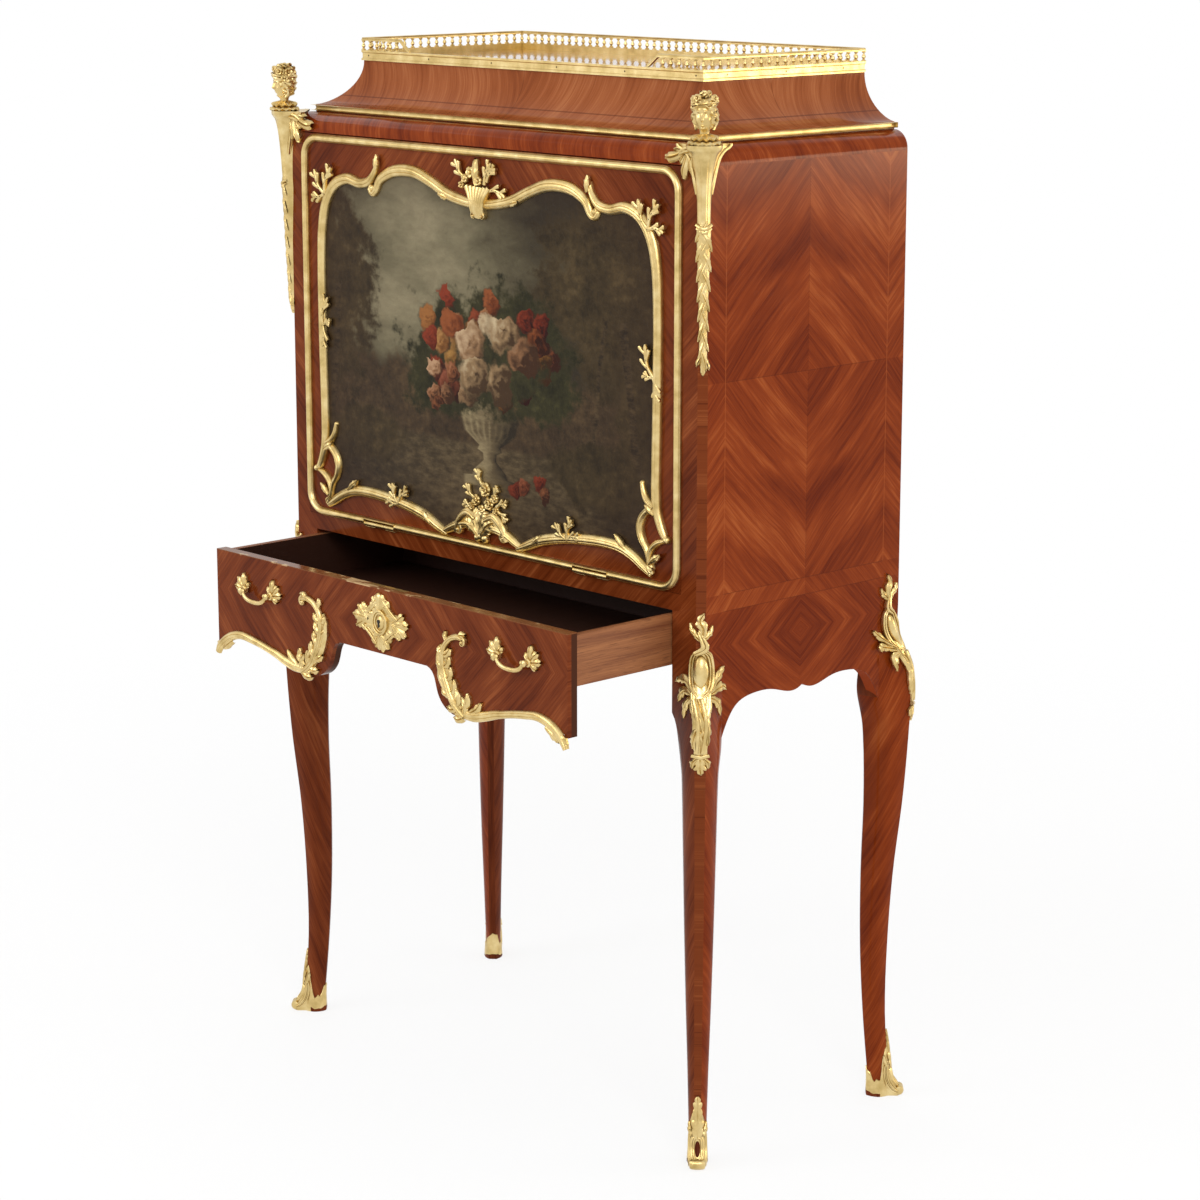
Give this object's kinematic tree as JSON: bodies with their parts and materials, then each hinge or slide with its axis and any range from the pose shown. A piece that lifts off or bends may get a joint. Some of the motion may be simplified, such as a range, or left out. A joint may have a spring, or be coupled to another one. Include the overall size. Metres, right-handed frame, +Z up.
{
  "type": "fall-front writing desk",
  "caption": "Veneered fall-front writing desk on cabriole legs, with a long drawer, inner fittings behind the fall, gilt brass mounts and a galleried coved top.",
  "frame": {"origin": "on the floor, under the middle of the overall box with the drawer standing out and the fall closed", "axes": "+Z up, +Y to the flat back, +X to the right of a person who faces the desk"},
  "size_m": [0.8162, 0.5498, 1.3302],
  "materials": {
    "kingwood_veneer": "quarter-matched veneer under a glossy polish",
    "carcase_wood": "plain oiled carcase timber",
    "fitting_wood": "pale satin polished veneer",
    "gilt_brass": "cast, chased and gilt, with burnished and matt parts",
    "plain_brass": "plain polished brass fittings",
    "painted_panel": "dark oil painting on a thin varnished panel",
    "writing_leather": "dark brown tooled leather"
  },
  "bodies": {
    "case": {"leg_front_left": "kingwood_veneer", "leg_front_right": "kingwood_veneer", "leg_back_left": "kingwood_veneer", "leg_back_right": "kingwood_veneer", "side_panel_left": "kingwood_veneer", "side_panel_right": "kingwood_veneer", "front_rail": "kingwood_veneer", "case_top": "kingwood_veneer", "cornice_cove": "kingwood_veneer", "cornice_top": "kingwood_veneer", "back_panel": "carcase_wood", "writing_floor": "carcase_wood", "dust_board": "carcase_wood", "drawer_runners": "carcase_wood", "sabots": "gilt_brass", "knee_mounts": "gilt_brass", "corner_mount_left": "gilt_brass", "corner_mount_right": "gilt_brass", "bust_left": "gilt_brass", "bust_right": "gilt_brass", "cornice_moulding": "gilt_brass", "gallery_band": "gilt_brass", "gallery_balusters": "gilt_brass", "gallery_rail": "gilt_brass", "fall_hinge_fixed_leaves": "plain_brass", "fall_hinge_pins": "plain_brass", "stay_guides": "plain_brass", "fitting_sides": "fitting_wood", "fitting_shelves": "fitting_wood", "fitting_uprights": "fitting_wood"},
    "fall": {"fall_board": "kingwood_veneer", "fall_moulding": "gilt_brass", "painted_panel": "painted_panel", "picture_frame": "gilt_brass", "frame_flowers": "gilt_brass", "writing_leather": "writing_leather", "fall_lock": "plain_brass", "fall_hinge_moving_leaves": "plain_brass", "fall_stays": "plain_brass"},
    "drawer": {"drawer_front": "kingwood_veneer", "drawer_sides": "carcase_wood", "drawer_back": "carcase_wood", "drawer_bottom": "carcase_wood", "drawer_lock": "plain_brass", "drawer_escutcheon": "gilt_brass", "apron_mounts": "gilt_brass", "handle_rosettes": "gilt_brass"},
    "fall_bolt": {"fall_lock_bolt": "plain_brass"},
    "drawer_bolt": {"drawer_lock_bolt": "plain_brass"},
    "bail_left": {"bail_left": "gilt_brass"},
    "bail_right": {"bail_right": "gilt_brass"},
    "small_drawer_left": {"small_drawer_left": "fitting_wood", "small_drawer_knob_left": "plain_brass"},
    "small_drawer_middle": {"small_drawer_middle": "fitting_wood", "small_drawer_knob_middle": "plain_brass"},
    "small_drawer_right": {"small_drawer_right": "fitting_wood", "small_drawer_knob_right": "plain_brass"}
  },
  "joints": [
    {"name": "fall_hinge", "type": "hinge", "parent": "case", "child": "fall", "pos_m": [0, -0.09771, 0.7104], "axis": [1, 0, 0], "range_deg": [0, 90]},
    {"name": "drawer_slide", "type": "slide", "parent": "case", "child": "drawer", "axis": [0, -1, 0], "range_m": [-0.167, 0.06]},
    {"name": "fall_bolt_slide", "type": "slide", "parent": "fall", "child": "fall_bolt", "axis": [0, 0, 1], "range_m": [0, 0.006]},
    {"name": "drawer_bolt_slide", "type": "slide", "parent": "drawer", "child": "drawer_bolt", "axis": [0, 0, 1], "range_m": [0, 0.006]},
    {"name": "bail_left_swing", "type": "hinge", "parent": "drawer", "child": "bail_left", "pos_m": [-0.245, -0.27091, 0.64], "axis": [-1, 0, 0], "range_deg": [0, 80]},
    {"name": "bail_right_swing", "type": "hinge", "parent": "drawer", "child": "bail_right", "pos_m": [0.245, -0.27091, 0.64], "axis": [-1, 0, 0], "range_deg": [0, 80]},
    {"name": "small_drawer_left_slide", "type": "slide", "parent": "case", "child": "small_drawer_left", "axis": [0, -1, 0], "range_m": [0, 0.105]},
    {"name": "small_drawer_middle_slide", "type": "slide", "parent": "case", "child": "small_drawer_middle", "axis": [0, -1, 0], "range_m": [0, 0.105]},
    {"name": "small_drawer_right_slide", "type": "slide", "parent": "case", "child": "small_drawer_right", "axis": [0, -1, 0], "range_m": [0, 0.105]}
  ]
}
